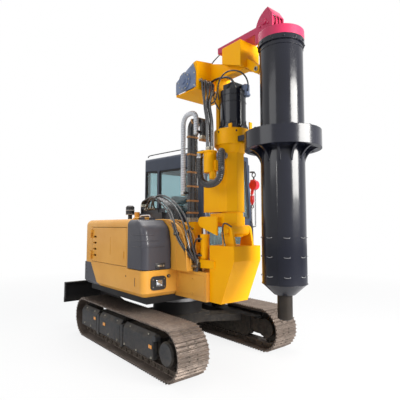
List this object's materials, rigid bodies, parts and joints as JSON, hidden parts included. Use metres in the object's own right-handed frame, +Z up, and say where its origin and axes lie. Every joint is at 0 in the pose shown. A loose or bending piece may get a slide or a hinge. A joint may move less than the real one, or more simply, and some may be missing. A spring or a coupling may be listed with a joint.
{
  "type": "crawler pile driver rig",
  "caption": "Crawler pile driver rig with a slewing upper body, a cab, a dozer blade and a telescoping mast that carries a drive unit, a sheave head and a hammer casing.",
  "frame": {"origin": "on the ground under the centre of the slewing ring", "axes": "+X forward from the tail to the mast, +Y to the machine's left where the cab is, +Z up"},
  "size_m": [4.209, 1.96, 3.872],
  "materials": {
    "yellow_paint": "gloss",
    "mast_yellow": "gloss",
    "grey_paint": "semi-gloss",
    "red_paint": "gloss",
    "black_gloss": "gloss",
    "frame_black": "satin",
    "track_steel": "dusty",
    "cast_iron": "rough",
    "steel": "satin",
    "chrome_rod": "polished",
    "glass": "clear",
    "lamp": "clear lens",
    "black_plastic": "matt",
    "seat_fabric": "woven",
    "hose_rubber": "matt"
  },
  "bodies": {
    "undercarriage": {"track_right": "track_steel", "track_left": "track_steel", "side_frame_right": "frame_black", "side_frame_left": "frame_black", "sprockets": "frame_black", "idlers": "frame_black", "rollers": "frame_black", "frame_covers": "grey_paint", "centre_frame": "frame_black", "slew_ring_lower": "steel"},
    "blade": {"dozer_blade": "frame_black"},
    "blade_ram_barrel": {"blade_ram_barrel": "frame_black"},
    "blade_ram_rod": {"blade_ram_rod": "chrome_rod"},
    "upper": {"revolving_frame": "yellow_paint", "slew_ring_upper": "steel", "skirts": "yellow_paint", "counterweight": "grey_paint", "hood": "yellow_paint", "fuel_tank": "black_plastic", "front_fender": "yellow_paint", "engine": "cast_iron", "cab_shell": "grey_paint", "cab_glass": "glass", "seat": "seat_fabric", "cab_controls": "black_plastic", "headlamp": "lamp", "air_precleaner": "black_plastic", "exhaust": "yellow_paint", "nose_frame": "yellow_paint", "mast_base": "mast_yellow", "hose_bundle": "hose_rubber", "valve_stack": "mast_yellow", "valve_bank": "black_gloss", "hood_hoses": "hose_rubber"},
    "cab_door": {"cab_door": "grey_paint", "cab_door_glass": "glass"},
    "nose_cover": {"nose_cover": "grey_paint"},
    "side_cover": {"side_cover": "yellow_paint"},
    "mast": {"mast_column": "mast_yellow"},
    "tilt_barrels": {"tilt_ram_barrels": "mast_yellow"},
    "tilt_rods": {"tilt_ram_rods": "chrome_rod"},
    "mast_slide": {"mast_sleeve": "mast_yellow", "mast_cap": "mast_yellow", "drive_motor": "black_gloss", "crown": "mast_yellow", "head_frame": "red_paint", "hammer_casing": "black_gloss", "tool_clamp": "black_gloss", "mast_valve": "mast_yellow", "crown_hoses": "hose_rubber"},
    "winch": {"winch": "steel"},
    "head_sheaves": {"head_sheaves": "red_paint"},
    "striker": {"striker": "steel"}
  },
  "joints": [
    {"name": "slew", "type": "hinge", "parent": "undercarriage", "child": "upper", "pos_m": [0, 0, 0.65], "axis": [0, 0, 1], "continuous": true},
    {"name": "blade_lift", "type": "hinge", "parent": "undercarriage", "child": "blade", "pos_m": [-0.64, 0, 0.33], "axis": [0, -1, 0], "range_deg": [0, 18]},
    {"name": "blade_ram_swing", "type": "hinge", "parent": "undercarriage", "child": "blade_ram_barrel", "pos_m": [-0.42, 0, 0.485], "axis": [0, -1, 0], "range_deg": [0, 15.5]},
    {"name": "blade_ram_stroke", "type": "slide", "parent": "blade_ram_barrel", "child": "blade_ram_rod", "axis": [-0.9983, 0, 0.059], "range_m": [0, 0.05]},
    {"name": "cab_door_swing", "type": "hinge", "parent": "upper", "child": "cab_door", "pos_m": [-0.243, 0.952, 1.7], "axis": [0, 0, 1], "range_deg": [0, 150]},
    {"name": "side_cover_swing", "type": "hinge", "parent": "upper", "child": "side_cover", "pos_m": [-0.833, -0.952, 1.35], "axis": [0, 0, -1], "range_deg": [0, 100]},
    {"name": "nose_cover_lift", "type": "hinge", "parent": "upper", "child": "nose_cover", "pos_m": [0.23, -0.7, 1.714], "axis": [0, -1, 0], "range_deg": [0, 60]},
    {"name": "mast_tilt", "type": "hinge", "parent": "upper", "child": "mast", "pos_m": [1.4, -0.19, 1.56], "axis": [0, 1, 0], "range_deg": [-5, 5]},
    {"name": "tilt_ram_swing", "type": "hinge", "parent": "upper", "child": "tilt_barrels", "pos_m": [1.03, -0.19, 1.18], "axis": [0, 1, 0], "range_deg": [-1.2, 1.2]},
    {"name": "tilt_ram_stroke", "type": "slide", "parent": "tilt_barrels", "child": "tilt_rods", "axis": [0, 0, 1], "range_m": [-0.034, 0.034]},
    {"name": "mast_extend", "type": "slide", "parent": "mast", "child": "mast_slide", "axis": [0, 0, 1], "range_m": [0, 0.5]},
    {"name": "winch_turn", "type": "hinge", "parent": "mast_slide", "child": "winch", "pos_m": [0.79, -0.19, 3.4], "axis": [0, 1, 0], "continuous": true},
    {"name": "sheave_turn", "type": "hinge", "parent": "mast_slide", "child": "head_sheaves", "pos_m": [1.888, -0.19, 3.735], "axis": [0, 1, 0], "continuous": true},
    {"name": "striker_stroke", "type": "slide", "parent": "mast_slide", "child": "striker", "axis": [0, 0, 1], "range_m": [0, 0.15]}
  ],
  "couplings": [
    {"joint": "blade_ram_swing", "follows": "blade_lift", "ratio": 0.8227},
    {"joint": "blade_ram_stroke", "follows": "blade_lift", "m_per_rad": 0.1387},
    {"joint": "tilt_ram_swing", "follows": "mast_tilt", "ratio": 0.1899},
    {"joint": "tilt_ram_stroke", "follows": "mast_tilt", "m_per_rad": 0.3697}
  ]
}
